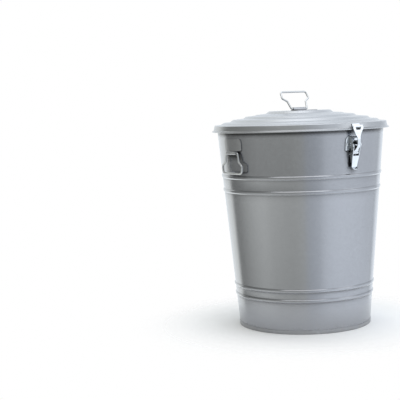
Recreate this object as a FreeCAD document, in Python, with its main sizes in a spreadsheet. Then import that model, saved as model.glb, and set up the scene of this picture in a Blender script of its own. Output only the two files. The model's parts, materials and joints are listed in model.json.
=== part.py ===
"""Galvanized trash can with lid: a tapered sheet-metal can with swaged beads, a stepped lid with a
flared hem, wire bail handles in hinge-leaf brackets, and a toggle latch at the front and the back.

Frame: +Z up, origin at the middle of the foot ring on the floor, millimetres. The side handles are at
-X and +X, the latches at -Y (front) and +Y (back). Wall hardware is drawn at +X, where X is the distance
from the can's axis, and then turned about Z to its place.
"""

import FreeCAD, Part
import math
import os
from types import SimpleNamespace

import Sketcher

Vector = FreeCAD.Vector
Rotation = FreeCAD.Rotation
Placement = FreeCAD.Placement

# ---------------------------------------------------------------------------------------------------
# Driving dimensions, in millimetres and degrees: alias, value, what it is.
# ---------------------------------------------------------------------------------------------------
DIMENSIONS = [
    # can
    ("base_radius", 160.0, "outer radius of the wall at the floor"),
    ("top_radius", 203.0, "outer radius of the wall at the rim"),
    ("body_height", 490.0, "floor to the top of the rolled rim"),
    ("sheet", 1.0, "thickness of the can and lid sheet"),
    ("seat_gap", 0.1, "clearance between pieces that lie against each other"),
    ("bead_height", 2.2, "how far a swaged bead stands out of the wall"),
    ("bead_width", 10.0, "width of a bead at the wall"),
    ("low_bead_a", 79.0, "height of the lowest bead"),
    ("low_bead_b", 103.0, "height of the second bead"),
    ("high_bead_a_drop", 155.5, "rim down to the third bead"),
    ("high_bead_b_drop", 121.0, "rim down to the highest bead"),
    ("rim_roll", 4.6, "outer diameter of the rolled rim"),
    ("foot_height", 9.0, "height of the folded foot ring"),
    ("pan_height", 20.0, "height of the top face of the bottom pan"),
    ("pan_flange", 9.0, "height of the pan's turned-down flange"),
    ("pan_crown", 3.0, "rise of the middle of the pan"),
    ("pan_crown_radius", 108.0, "radius of the raised middle of the pan"),
    # lid
    ("lid_overhang", 5.5, "lid's rim crease beyond the can's wall at the rim"),
    ("lid_band", 12.0, "height of the lid's side band"),
    ("lid_spread", 2.5, "how much the band widens downwards"),
    ("hem_flare", 6.5, "how far the flared hem stands out beyond the rim crease"),
    ("hem_roll", 3.2, "diameter of the rolled hem"),
    ("hem_drop", 2.6, "middle of the hem below the band's lower edge"),
    ("tread_slope", 0.085, "fall of the lid's treads per millimetre outwards"),
    ("step_run", 7.0, "radial width of each step of the lid"),
    ("tread_a", 22.0, "radial width of the lid's innermost tread, below the plateau"),
    ("tread_b", 20.0, "radial width of the second tread"),
    ("tread_c", 25.5, "radial width of the third tread"),
    ("tread_d", 16.0, "radial width of the fourth tread"),
    ("tread_e", 15.0, "radial width of the outermost tread, at the rim crease"),
    ("step_drop_a", 5.4, "drop of the first step"),
    ("step_drop_b", 2.0, "drop of the second step"),
    ("step_drop_c", 4.7, "drop of the third step"),
    ("step_drop_d", 5.2, "drop of the fourth step"),
    ("step_drop_e", 4.6, "drop of the fifth step"),
    # wire bails and their hinge-leaf brackets
    ("wire", 4.6, "diameter of the handle wire"),
    ("wire_play", 0.08, "radial clearance of the wire in its knuckle"),
    ("bail_length", 48.0, "pivot axis to the middle of the grip bar"),
    ("bail_foot", 23.5, "half the spacing of the legs at the pivot"),
    ("bail_waist", 28.0, "half the spacing of the legs below the shoulder"),
    ("bail_shoulder", 40.0, "half the width across the shoulders"),
    ("bail_grip", 38.5, "half the length of the grip bar"),
    ("bail_waist_drop", 21.5, "pivot axis to the start of the shoulder"),
    ("bail_shoulder_drop", 29.5, "pivot axis to the end of the shoulder"),
    ("bail_end_gap", 5.0, "gap between the wire's ends inside the knuckle"),
    ("bail_bend", 3.0, "how far from its corner each bend of the wire begins"),
    ("bail_corner", 5.0, "how far from its corner each bend of the grip bar begins"),
    ("leaf_sheet", 1.6, "thickness of the bracket and latch sheet"),
    ("leaf_width", 66.0, "width of the bracket's leaf"),
    ("leaf_height", 33.0, "pivot axis to the far edge of the leaf"),
    ("leaf_neck", 5.0, "pivot axis to the near edge of the wide part"),
    ("leaf_corner", 6.0, "corner radius of the leaf"),
    ("knuckle_gap", 2.2, "gap between an end of the knuckle and the bail's leg"),
    ("handle_drop", 62.0, "rim down to the side handles' pivots"),
    ("lid_handle_lean", 30.0, "rest angle of the lid handle from upright"),
    # latch base
    ("latch_drop", 50.0, "rim down to the lever's pivot"),
    ("latch_pivot_reach", 10.9, "lever's pivot from the wall at its height"),
    ("foot_width", 10.0, "width of each foot of the arch-shaped base beside its ear"),
    ("base_below", 12.0, "pivot down to the lower edge of the base's feet"),
    ("base_above", 21.0, "pivot up to the upper edge of the base"),
    ("latch_corner", 12.0, "radius of the arch's upper corners"),
    ("arch_above", 8.0, "pivot up to the top of the opening between the feet"),
    ("arch_corner", 5.0, "corner radius of the opening between the feet"),
    ("ear_sheet", 1.6, "thickness of the base's ears"),
    ("ear_half", 12.0, "outer faces of the ears from the latch's middle"),
    ("ear_radius", 5.2, "radius of the ears round the pivot"),
    ("hood_radius", 9.5, "outer radius of the hood over the pivot"),
    ("hood_drop", 10.0, "latch top down to the hood's lower edge"),
    ("rivet_shank", 4.0, "diameter of the rivets"),
    ("rivet_head", 7.6, "diameter of the rivet heads"),
    ("rivet_crown", 3.8, "diameter of the flat on top of a rivet head"),
    ("rivet_rise", 1.6, "height of the rivet heads"),
    ("rivet_tail", 6.0, "diameter of the rivets' peened tails"),
    ("tail_rise", 0.8, "height of the rivets' peened tails"),
    ("base_rivet_above", 1.0, "pivot up to the base rivets"),
    # lever and its pins
    ("pin_play", 0.06, "radial clearance of a pin that something turns on"),
    ("pivot_pin", 4.0, "diameter of the lever's pivot pin"),
    ("pin_head", 6.4, "diameter of a pin's head"),
    ("pin_head_rise", 1.2, "thickness of a pin's head"),
    ("lever_side_gap", 0.6, "gap between an ear and the lever's cheek"),
    ("lever_sheet", 1.5, "thickness of the lever's sheet"),
    ("lever_eye", 4.6, "radius of the cheeks round the pivot"),
    ("link_drop", 17.0, "link pin below the lever's pivot, latch shut"),
    ("link_inset", 5.1, "link pin nearer the wall than the pivot, latch shut"),
    ("link_pin", 3.6, "diameter of the link pin"),
    ("lever_tip", 54.0, "lever's tip below its pivot, latch shut"),
    ("lever_tip_half", 7.0, "half the width of the lever's tip"),
    ("lever_corner", 3.5, "corner radius of the lever's tip"),
    ("lever_wall_gap", 1.0, "gap between the shut lever's edge and the wall"),
    ("thumb_lift", 4.5, "how far the thumb lip stands out"),
    ("web_drop", 7.5, "link pin down to the upper edge of the lever's web"),
    ("latch_ajar", 5.5, "rest angle of the lever from shut"),
    ("link_ratio", -1.1, "turn of the link per turn of the lever"),
    # link and keeper
    ("link_sheet", 1.6, "thickness of the link"),
    ("link_eye", 3.7, "outer radius of the link's eye"),
    ("link_side_gap", 0.7, "gap between the lever's cheek and the link's eye"),
    ("strip_half", 4.2, "half the width of the link's strip"),
    ("bow_reach", 18.6, "middle of the bowed strip from the wall"),
    ("bow_drop", 26.3, "claw's cross bar down to the end of the bow"),
    ("bow_fall", 8.0, "height over which the bow draws in to the claw"),
    ("bow_bend", 6.0, "bend radius of the link"),
    ("claw_half", 15.0, "half the width of the claw"),
    ("claw_bar", 4.2, "height of the claw's cross bar"),
    ("claw_gap", 0.5, "gap between the hooked claw and the lid's hem"),
    ("claw_cheek", 3.0, "claw's cross bar down to where its sides draw in"),
    ("claw_root", 24.0, "claw's cross bar down to the plain strip"),
    ("claw_corner", 4.0, "corner radius of the claw"),
    ("window_half", 8.6, "half the width of the claw's window"),
    ("window_foot", 5.5, "half the width of the window at its lower edge"),
    ("window_height", 7.0, "height of the claw's window"),
    ("keeper_sheet", 1.5, "thickness of the keeper"),
    ("keeper_half", 11.0, "half the width of the keeper's plate"),
    ("keeper_height", 9.0, "height of the keeper's plate"),
    ("keeper_lift", 1.0, "lower edge of the lid's band up to the keeper"),
    ("tongue_half", 7.0, "half the width of the keeper's tongue"),
    ("tongue_catch", 2.2, "how far the tongue reaches into the claw"),
    ("tongue_play", 0.7, "gap between the tongue and the cross bar above it"),
]

SHEET = "Sizes"
FULL_TURN = 360.0
HEXAGON = math.tan(math.radians(30))
DIAGONAL = math.sqrt(0.5)
FRONT, BACK, LEFT, RIGHT = -90.0, 90.0, 180.0, 0.0

doc = FreeCAD.newDocument("TrashCan")
sheet = doc.addObject("Spreadsheet::Sheet", SHEET)


class Size:
    """A number together with the sheet formula it comes from, so that both follow the same sums."""

    def __init__(self, value, formula):
        self.value = value
        self.formula = formula

    def __add__(self, other):
        other = as_size(other)
        return Size(self.value + other.value, f"({self.formula} + {other.formula})")

    def __sub__(self, other):
        other = as_size(other)
        return Size(self.value - other.value, f"({self.formula} - {other.formula})")

    def __mul__(self, other):
        other = as_size(other)
        return Size(self.value * other.value, f"({self.formula} * {other.formula})")

    def __truediv__(self, other):
        other = as_size(other)
        return Size(self.value / other.value, f"({self.formula} / {other.formula})")

    def __radd__(self, other):
        return as_size(other) + self

    def __rsub__(self, other):
        return as_size(other) - self

    def __rmul__(self, other):
        return as_size(other) * self

    def __neg__(self):
        return Size(-self.value, f"(0 - {self.formula})")


def as_size(number):
    """A plain number as a Size."""
    return number if isinstance(number, Size) else Size(float(number), f"{float(number):.9g}")


def fill_sheet():
    """Write the driving dimensions into the sheet and return them by name."""
    values = {}
    for row, (alias, value, note) in enumerate(DIMENSIONS, start=1):
        sheet.set(f"A{row}", alias)
        sheet.set(f"B{row}", str(value))
        sheet.set(f"C{row}", note)
        sheet.setAlias(f"B{row}", alias)
        values[alias] = Size(value, f"{SHEET}.{alias}")
    doc.recompute()
    return SimpleNamespace(**values)


d = fill_sheet()

# ---------------------------------------------------------------------------------------------------
# Sizes that follow from the driving ones.
# ---------------------------------------------------------------------------------------------------
TAPER = (d.top_radius - d.base_radius) / d.body_height
TAPER_ANGLE = math.degrees(math.atan(TAPER.value))
RIM_CREASE = d.body_height + d.seat_gap + d.sheet
LID_RADIUS = d.top_radius + d.lid_overhang
HEM_RADIUS = LID_RADIUS + d.hem_flare
BAND_FOOT = RIM_CREASE - d.lid_band
BAND_SLOPE = d.lid_spread / d.lid_band
HEM_MIDDLE = BAND_FOOT - d.hem_drop
KNUCKLE_BORE = d.wire / 2 + d.wire_play
KNUCKLE_RADIUS = KNUCKLE_BORE + d.leaf_sheet
KNUCKLE_REACH = KNUCKLE_RADIUS + d.seat_gap * 2
KNUCKLE_HALF = d.bail_foot - d.wire / 2 - d.knuckle_gap
HANDLE_HEIGHT = d.body_height - d.handle_drop
THROUGH = d.top_radius * 2


def wall(height):
    """Outer radius of the can's wall at a height."""
    return d.base_radius + TAPER * height


def band(height):
    """Outer radius of the lid's side band at a height."""
    return LID_RADIUS + BAND_SLOPE * (RIM_CREASE - height)


# ---------------------------------------------------------------------------------------------------
# Drawing helpers.
# ---------------------------------------------------------------------------------------------------
SIDE_VIEW = Placement(Vector(), Rotation(Vector(1, 0, 0), 90))
FRONT_VIEW = Placement(Vector(), Rotation(Vector(1, 1, 1), 120))
TOP_VIEW = Placement(Vector(), Rotation(Vector(0, 1, 0), Vector(1, 0, 0), Vector(0, 0, -1), "XYZ"))


def bind(thing, name, size):
    """Tie a property to the sheet."""
    thing.setExpression(name, as_size(size).formula)


def new_body(name):
    return doc.addObject("PartDesign::Body", name)


def body_sketch(body, name, role):
    """A sketch on one of a body's own origin planes."""
    sketch = body.newObject("Sketcher::SketchObject", name)
    plane = next(f for f in body.Origin.OriginFeatures if f.Role == role)
    sketch.AttachmentSupport = [(plane, "")]
    sketch.MapMode = "FlatFace"
    return sketch


def free_sketch(name, placement):
    """A sketch that stands by itself."""
    sketch = doc.addObject("Sketcher::SketchObject", name)
    sketch.Placement = placement
    return sketch


def pin_point(sketch, geometry, end, x, y):
    """Hold a point of the sketch at x, y by constraints that follow the sheet."""
    for kind, size in (("DistanceX", as_size(x)), ("DistanceY", as_size(y))):
        number = sketch.addConstraint(Sketcher.Constraint(kind, -1, 1, geometry, end, size.value))
        bind(sketch, f"Constraints[{number}]", size)


def hold_radius(sketch, geometry, radius):
    number = sketch.addConstraint(Sketcher.Constraint("Radius", geometry, as_size(radius).value))
    bind(sketch, f"Constraints[{number}]", radius)


def arc_between(start, end, radius, side):
    """A short arc from start to end. Side +1 turns left on the way, -1 turns right."""
    chord = end - start
    half = chord.Length / 2
    rise = math.sqrt(max(radius * radius - half * half, 0.0))
    across = Vector(-chord.y, chord.x, 0).normalize()
    centre = (start + end) / 2 + across * rise * side
    middle = centre - across * radius * side
    return Part.Arc(start, middle, end), side


def closed_outline(sketch, corners):
    """A closed outline. A corner is x, y, or x, y, radius, side where an arc leads to the next one."""
    places = [Vector(as_size(c[0]).value, as_size(c[1]).value, 0) for c in corners]
    ends = []
    for index, corner in enumerate(corners):
        here = places[index]
        there = places[(index + 1) % len(corners)]
        if len(corner) == 2:
            geometry = sketch.addGeometry(Part.LineSegment(here, there), False)
            ends.append((geometry, 1, 2))
        else:
            arc, side = arc_between(here, there, as_size(corner[2]).value, corner[3])
            geometry = sketch.addGeometry(arc, False)
            ends.append((geometry, 1, 2) if side > 0 else (geometry, 2, 1))
            hold_radius(sketch, geometry, corner[2])
    for index, (geometry, first, last) in enumerate(ends):
        following, start, _ = ends[(index + 1) % len(ends)]
        sketch.addConstraint(Sketcher.Constraint("Coincident", geometry, last, following, start))
        pin_point(sketch, geometry, first, corners[index][0], corners[index][1])


def circle(sketch, x, y, radius):
    place = Vector(as_size(x).value, as_size(y).value, 0)
    geometry = sketch.addGeometry(Part.Circle(place, Vector(0, 0, 1), as_size(radius).value), False)
    pin_point(sketch, geometry, 3, x, y)
    hold_radius(sketch, geometry, radius)


def rounded_path(sketch, corners):
    """An open path of straight runs joined by tangent arcs. An inner corner is x, y, bend radius."""
    places = [Vector(as_size(c[0]).value, as_size(c[1]).value, 0) for c in corners]
    starts, stops, arcs = [places[0]], [], []
    for before, here, after, corner in zip(places, places[1:], places[2:], corners[1:]):
        radius = as_size(corner[2]).value
        arriving = (here - before).normalize()
        leaving = (after - here).normalize()
        turn = arriving.getAngle(leaving)
        reach = radius * math.tan(turn / 2)
        side = 1 if arriving.cross(leaving).z > 0 else -1
        first = here - arriving * reach
        last = here + leaving * reach
        arcs.append((*arc_between(first, last, radius, side), corner))
        stops.append(first)
        starts.append(last)
    stops.append(places[-1])
    lines = [
        sketch.addGeometry(Part.LineSegment(a, b), False) for a, b in zip(starts, stops)
    ]
    for index, (arc, side, corner) in enumerate(arcs):
        geometry = sketch.addGeometry(arc, False)
        first, last = (1, 2) if side > 0 else (2, 1)
        sketch.addConstraint(Sketcher.Constraint("Tangent", lines[index], 2, geometry, first))
        sketch.addConstraint(Sketcher.Constraint("Tangent", geometry, last, lines[index + 1], 1))
        hold_radius(sketch, geometry, corner[2])
        mark = sketch.addGeometry(Part.Point(places[index + 1]), True)
        sketch.addConstraint(Sketcher.Constraint("PointOnObject", mark, 1, lines[index]))
        sketch.addConstraint(Sketcher.Constraint("PointOnObject", mark, 1, lines[index + 1]))
        pin_point(sketch, mark, 1, corner[0], corner[1])
    pin_point(sketch, lines[0], 1, *corners[0][:2])
    pin_point(sketch, lines[-1], 2, *corners[-1][:2])


def mitred_path(sketch, corners):
    """An open path of straight runs. An inner corner is x, y, cut: a short run cuts it off there."""
    places = [Vector(as_size(c[0]).value, as_size(c[1]).value, 0) for c in corners]
    points = [places[0]]
    for before, here, after, corner in zip(places, places[1:], places[2:], corners[1:]):
        reach = as_size(corner[2]).value
        points.append(here + (before - here).normalize() * reach)
        points.append(here + (after - here).normalize() * reach)
    points.append(places[-1])
    lines = [sketch.addGeometry(Part.LineSegment(a, b), False) for a, b in zip(points, points[1:])]
    for line, following in zip(lines, lines[1:]):
        sketch.addConstraint(Sketcher.Constraint("Coincident", line, 2, following, 1))
    for index, corner in enumerate(corners[1:-1]):
        arriving, leaving = lines[index * 2], lines[index * 2 + 2]
        mark = sketch.addGeometry(Part.Point(places[index + 1]), True)
        for line, end in ((arriving, 2), (leaving, 1)):
            sketch.addConstraint(Sketcher.Constraint("PointOnObject", mark, 1, line))
            reach = as_size(corner[2])
            number = sketch.addConstraint(
                Sketcher.Constraint("Distance", mark, 1, line, end, reach.value)
            )
            bind(sketch, f"Constraints[{number}]", reach)
        pin_point(sketch, mark, 1, corner[0], corner[1])
    pin_point(sketch, lines[0], 1, *corners[0][:2])
    pin_point(sketch, lines[-1], 2, *corners[-1][:2])


def turned(name, corners):
    """A ring turned about the can's axis from a closed outline of radius, height corners."""
    body = new_body(name)
    sketch = body_sketch(body, f"{name}_profile", "XZ_Plane")
    closed_outline(sketch, corners)
    turn = body.newObject("PartDesign::Revolution", f"{name}_turn")
    turn.Profile = sketch
    turn.ReferenceAxis = (sketch, ["V_Axis"])
    turn.Angle = FULL_TURN
    return body


def prism(name, view, corners, length, middle=True):
    """A straight-sided block: an outline in the side or front view, pushed square to that view."""
    sketch = free_sketch(f"{name}_outline", view)
    closed_outline(sketch, corners)
    block = doc.addObject("Part::Extrusion", name)
    block.Base = sketch
    block.DirMode = "Normal"
    block.Solid = True
    block.Symmetric = middle
    bind(block, "LengthFwd", length)
    return block


def cone(name, low, high, radius_low, radius_high):
    solid = doc.addObject("Part::Cone", name)
    bind(solid, "Radius1", radius_low)
    bind(solid, "Radius2", radius_high)
    bind(solid, "Height", high - low)
    bind(solid, "Placement.Base.z", low)
    return solid


def skin(name, radius_at, low, high, inner, outer):
    """A tapered shell between two offsets from the can's wall or the lid's band."""
    return cut(
        name,
        cone(f"{name}_outside", low, high, radius_at(low) + outer, radius_at(high) + outer),
        cone(f"{name}_inside", low, high, radius_at(low) + inner, radius_at(high) + inner),
    )


def cut(name, base, tool):
    result = doc.addObject("Part::Cut", name)
    result.Base = base
    result.Tool = tool
    return result


def common(name, base, tool):
    result = doc.addObject("Part::Common", name)
    result.Base = base
    result.Tool = tool
    return result


def fuse(name, *shapes):
    result = doc.addObject("Part::MultiFuse", name)
    result.Shapes = list(shapes)
    result.Refine = True
    return result


def group(name, *shapes):
    """Separate solids kept together under one name."""
    result = doc.addObject("Part::Compound", name)
    result.Links = list(shapes)
    return result


def rod(name, x, z, radius, length, y=None):
    """A cylinder along Y, centred on the latch's or bracket's middle unless y gives its low end."""
    solid = doc.addObject("Part::Cylinder", name)
    solid.Placement = Placement(Vector(), Rotation(Vector(1, 0, 0), -90))
    bind(solid, "Radius", radius)
    bind(solid, "Height", length)
    bind(solid, "Placement.Base.x", x)
    bind(solid, "Placement.Base.y", -length / 2 if y is None else y)
    bind(solid, "Placement.Base.z", z)
    return solid


def swept(name, path_role, draw_path, corners, draw_section):
    """A body swept along a path from the section that draw_section puts at the path's start."""
    body = new_body(name)
    path = body_sketch(body, f"{name}_path", path_role)
    draw_path(path, corners)
    doc.recompute()
    sweep = body.newObject("PartDesign::AdditivePipe", f"{name}_sweep")
    sweep.Profile = draw_section(body, f"{name}_section")
    sweep.Spine = (path, [f"Edge{n + 1}" for n in range(len(path.Shape.Edges))])
    sweep.Transition = "Right corner"
    return body


def turn_about_z(angle):
    return Placement(Vector(), Rotation(Vector(0, 0, 1), angle))


def turn_about_y(x, z, angle):
    """A turn about an axis along Y through x, z. A positive angle turns +Z towards +X."""
    return Placement(Vector(), Rotation(Vector(0, 1, 0), angle), Vector(x.value, 0, z.value))


# ---------------------------------------------------------------------------------------------------
# Can: wall, rolled rim, pan and foot ring.
# ---------------------------------------------------------------------------------------------------
WALL_FOOT = d.sheet + d.seat_gap
BEADS = (
    d.low_bead_a,
    d.low_bead_b,
    d.body_height - d.high_bead_a_drop,
    d.body_height - d.high_bead_b_drop,
)
ROLL_MIDDLE = d.body_height - d.rim_roll / 2


def wall_skin(offset):
    """The wall's line from the foot to the rolled rim, beads included, moved in by an offset."""
    line = [(wall(WALL_FOOT) - offset, WALL_FOOT)]
    for bead in BEADS:
        for along, stand in (
            (-d.bead_width / 2, 0.0),
            (as_size(0.0), d.bead_height),
            (d.bead_width / 2, 0.0),
        ):
            line.append((wall(bead + along) + stand - offset, bead + along))
    line.append((wall(ROLL_MIDDLE) - offset, ROLL_MIDDLE))
    return line


def rolled_rim():
    """The six-sided roll of sheet at the top of the wall, from its under side round to its top."""
    half = d.rim_roll / 2
    flat = half * HEXAGON
    middle = wall(ROLL_MIDDLE) - d.sheet + half
    return [
        (middle - flat, ROLL_MIDDLE - half),
        (middle + flat, ROLL_MIDDLE - half),
        (middle + half, ROLL_MIDDLE),
        (middle + flat, ROLL_MIDDLE + half),
        (middle - flat, ROLL_MIDDLE + half),
    ]


def can_wall():
    """The tapered wall in one piece with its four swaged beads and its rolled rim."""
    outside = wall_skin(0.0)
    inside = wall_skin(d.sheet)
    roll_low = ROLL_MIDDLE - d.rim_roll / 2
    outside[-1] = (wall(roll_low), roll_low)
    return turned("can_wall", outside + rolled_rim() + inside[::-1])


def bottom_pan():
    """The bottom: a disc with a raised middle and a flange turned down inside the wall."""
    inside = d.sheet + d.seat_gap
    low = d.pan_height - d.pan_flange
    under = d.pan_height - d.sheet
    foot = d.pan_crown_radius + d.pan_crown * 2
    return turned(
        "bottom_pan",
        [
            (0.0, d.pan_height + d.pan_crown),
            (0.0, under + d.pan_crown),
            (d.pan_crown_radius, under + d.pan_crown),
            (foot, under),
            (wall(under) - inside - d.sheet, under),
            (wall(low) - inside - d.sheet, low),
            (wall(low) - inside, low),
            (wall(d.pan_height) - inside, d.pan_height),
            (foot, d.pan_height),
            (d.pan_crown_radius, d.pan_height + d.pan_crown),
        ],
    )


def foot_ring():
    """The folded strip that wraps the wall's lower edge and stands on the floor."""
    outer = d.seat_gap + d.sheet
    inner = -d.sheet - d.seat_gap
    top = d.foot_height
    return turned(
        "foot_ring",
        [
            (wall(0.0) + inner - d.sheet, 0.0),
            (wall(0.0) + outer, 0.0),
            (wall(top) + outer, top),
            (wall(top) + d.seat_gap, top),
            (wall(d.sheet) + d.seat_gap, d.sheet),
            (wall(d.sheet) + inner, d.sheet),
            (wall(top) + inner, top),
            (wall(top) + inner - d.sheet, top),
        ],
    )


# ---------------------------------------------------------------------------------------------------
# Lid: one sheet with five steps, a side band, a flare and a rolled hem.
# ---------------------------------------------------------------------------------------------------
STEPS = (
    (d.tread_e, d.step_drop_e),
    (d.tread_d, d.step_drop_d),
    (d.tread_c, d.step_drop_c),
    (d.tread_b, d.step_drop_b),
    (d.tread_a, d.step_drop_a),
)


def lid_top():
    """The corners of the lid's top from its rim crease inwards to its plateau."""
    radius, height = LID_RADIUS, RIM_CREASE
    line = [(radius, height)]
    for tread, drop in STEPS:
        radius = radius - tread
        height = height + d.tread_slope * tread
        line.append((radius, height))
        radius = radius - d.step_run
        height = height + drop
        line.append((radius, height))
    return line


LID_TOP = lid_top()
PLATEAU = LID_TOP[-1][1]


def lid_sheet():
    """The stepped lid with its band and flare, and the six-sided roll of its hem."""
    roll = d.hem_roll / 2
    flat = roll * HEXAGON
    middle = HEM_RADIUS - roll
    outside = [(0.0, PLATEAU)] + LID_TOP[::-1] + [(band(BAND_FOOT), BAND_FOOT)]
    hem = [
        (middle + flat, HEM_MIDDLE + roll),
        (middle + roll, HEM_MIDDLE),
        (middle + flat, HEM_MIDDLE - roll),
        (middle - flat, HEM_MIDDLE - roll),
        (middle - roll, HEM_MIDDLE),
    ]
    under = [(band(BAND_FOOT) - d.sheet, BAND_FOOT), (LID_RADIUS - d.sheet, RIM_CREASE - d.sheet)]
    under += [(radius, height - d.sheet) for radius, height in LID_TOP[1:]]
    return turned("lid_shell", outside + hem + under + [(0.0, PLATEAU - d.sheet)])


# ---------------------------------------------------------------------------------------------------
# Wire bails and their brackets.
# ---------------------------------------------------------------------------------------------------
def bail(name):
    """A wire bail drawn hanging below its pivot, which is the Y axis of its own frame."""
    half_gap = d.bail_end_gap / 2
    legs = [
        (d.bail_foot, 0.0, d.bail_bend),
        (d.bail_waist, -d.bail_waist_drop, d.bail_bend),
        (d.bail_shoulder, -d.bail_shoulder_drop, d.bail_bend),
        (d.bail_grip, -d.bail_length, d.bail_corner),
    ]
    mirrored = [(-across, drop, bend) for across, drop, bend in reversed(legs)]
    corners = [(half_gap, 0.0)] + legs + mirrored + [(-half_gap, 0.0)]

    def section(body, label):
        sketch = body_sketch(body, label, "XZ_Plane")
        sketch.AttachmentOffset = Placement(Vector(0, 0, -half_gap.value), Rotation())
        bind(sketch, "AttachmentOffset.Base.z", -half_gap)
        circle(sketch, 0.0, 0.0, d.wire / 2)
        return sketch

    return swept(name, "YZ_Plane", mitred_path, corners, section)


def leaf_outline(low):
    """The front view of a bracket's leaf: a neck as wide as the knuckle, then the wide part."""
    wide, neck, bend = d.leaf_width / 2, KNUCKLE_HALF, d.leaf_corner
    shoulder, high = low + d.leaf_neck, low + d.leaf_height
    return [
        (-neck, low),
        (neck, low),
        (neck, shoulder),
        (wide - bend, shoulder, bend, 1),
        (wide, shoulder + bend),
        (wide, high - bend, bend, 1),
        (wide - bend, high),
        (bend - wide, high, bend, 1),
        (-wide, high - bend),
        (-wide, shoulder + bend, bend, 1),
        (bend - wide, shoulder),
        (-neck, shoulder),
    ]


def side_bracket(name, turn):
    """A spot-welded leaf that follows the wall, with a knuckle rolled round the wire at its foot."""
    low, high = HANDLE_HEIGHT, HANDLE_HEIGHT + d.leaf_height
    leaf = common(
        f"{name}_leaf",
        skin(f"{name}_skin", wall, low, high, d.seat_gap, d.seat_gap + d.leaf_sheet),
        prism(f"{name}_front", FRONT_VIEW, leaf_outline(low), THROUGH, middle=False),
    )
    axis = wall(low) + KNUCKLE_REACH
    knuckle = rod(f"{name}_knuckle", axis, low, KNUCKLE_RADIUS, KNUCKLE_HALF * 2)
    bore = rod(f"{name}_bore", axis, low, KNUCKLE_BORE, d.leaf_width)
    bracket = cut(name, fuse(f"{name}_blank", leaf, knuckle), bore)
    bracket.Placement = turn_about_z(turn)
    return bracket


def lid_bracket(name):
    """The same bracket, flat: its leaf lies on the lid's plateau, towards the front of the can."""
    axis = PLATEAU + KNUCKLE_REACH
    leaf = prism(f"{name}_leaf", TOP_VIEW, leaf_outline(as_size(0.0)), d.leaf_sheet, middle=False)
    bind(leaf.Base, "Placement.Base.z", PLATEAU + d.seat_gap + d.leaf_sheet)
    knuckle = rod(f"{name}_knuckle", 0.0, axis, KNUCKLE_RADIUS, KNUCKLE_HALF * 2)
    bore = rod(f"{name}_bore", 0.0, axis, KNUCKLE_BORE, d.leaf_width)
    bracket = cut(name, fuse(f"{name}_blank", leaf, knuckle), bore)
    bracket.Placement = turn_about_z(FRONT)
    return bracket


def side_handle(name, turn):
    """A bail hanging from its side bracket."""
    handle = bail(name)
    axis = wall(HANDLE_HEIGHT) + KNUCKLE_REACH
    hang = Placement(Vector(axis.value, 0, HANDLE_HEIGHT.value), Rotation())
    handle.Placement = turn_about_z(turn).multiply(hang)
    return handle


def lid_handle(name):
    """A bail standing on the lid, leaning back a little."""
    handle = bail(name)
    axis = PLATEAU + KNUCKLE_REACH
    stand = Rotation(Vector(0, 1, 0), 180 - d.lid_handle_lean.value)
    handle.Placement = turn_about_z(FRONT).multiply(Placement(Vector(0, 0, axis.value), stand))
    return handle


# ---------------------------------------------------------------------------------------------------
# Rivets.
# ---------------------------------------------------------------------------------------------------
PIVOT_Z = d.body_height - d.latch_drop
PIVOT_X = wall(PIVOT_Z) + d.latch_pivot_reach
BASE_HALF = d.ear_half + d.foot_width
RIVET_ACROSS = d.ear_half + d.foot_width / 2
RIVET_HEIGHT = PIVOT_Z + d.base_rivet_above
BASE_FACE = wall(RIVET_HEIGHT) + d.seat_gap + d.leaf_sheet
BASE_GRIP = d.leaf_sheet + d.sheet + d.seat_gap * 2
DRILL = BASE_GRIP * 3


def rivet(name):
    """A rivet along +Z, with the seat of its head at z = 0 and its tail below the grip."""
    stem = doc.addObject("Part::Cylinder", f"{name}_stem")
    bind(stem, "Radius", d.rivet_shank / 2)
    bind(stem, "Height", BASE_GRIP)
    bind(stem, "Placement.Base.z", -BASE_GRIP)
    dome = doc.addObject("Part::Cone", f"{name}_dome")
    bind(dome, "Radius1", d.rivet_head / 2)
    bind(dome, "Radius2", d.rivet_crown / 2)
    bind(dome, "Height", d.rivet_rise)
    tail = doc.addObject("Part::Cylinder", f"{name}_tail")
    bind(tail, "Radius", d.rivet_tail / 2)
    bind(tail, "Height", d.tail_rise)
    bind(tail, "Placement.Base.z", -BASE_GRIP - d.tail_rise)
    return fuse(name, stem, dome, tail)


def rivet_place(across):
    """Where a rivet goes on the sloping round wall, square to it."""
    azimuth = math.degrees(math.asin(across.value / BASE_FACE.value))
    seat = Vector(BASE_FACE.value, 0, RIVET_HEIGHT.value)
    outwards = Rotation(Vector(0, 1, 0), 90 + TAPER_ANGLE)
    return turn_about_z(azimuth).multiply(Placement(seat, outwards))


def base_rivets(name, turn):
    """The two rivets that hold a latch's base."""
    pair = []
    for label, across in (("a", -RIVET_ACROSS), ("b", RIVET_ACROSS)):
        one = rivet(f"{name}_{label}")
        one.Placement = rivet_place(across)
        pair.append(one)
    result = group(name, *pair)
    result.Placement = turn_about_z(turn)
    return result


def rivet_holes(name, turn):
    """The holes for those rivets, as solids to cut away."""
    holes = []
    for label, across in (("a", -RIVET_ACROSS), ("b", RIVET_ACROSS)):
        hole = doc.addObject("Part::Cylinder", f"{name}_{label}")
        bind(hole, "Radius", d.rivet_shank / 2 + d.seat_gap)
        bind(hole, "Height", DRILL)
        inwards = Placement(Vector(0, 0, BASE_GRIP.value - DRILL.value), Rotation())
        hole.Placement = turn_about_z(turn).multiply(rivet_place(across)).multiply(inwards)
        holes.append(hole)
    return holes


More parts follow.
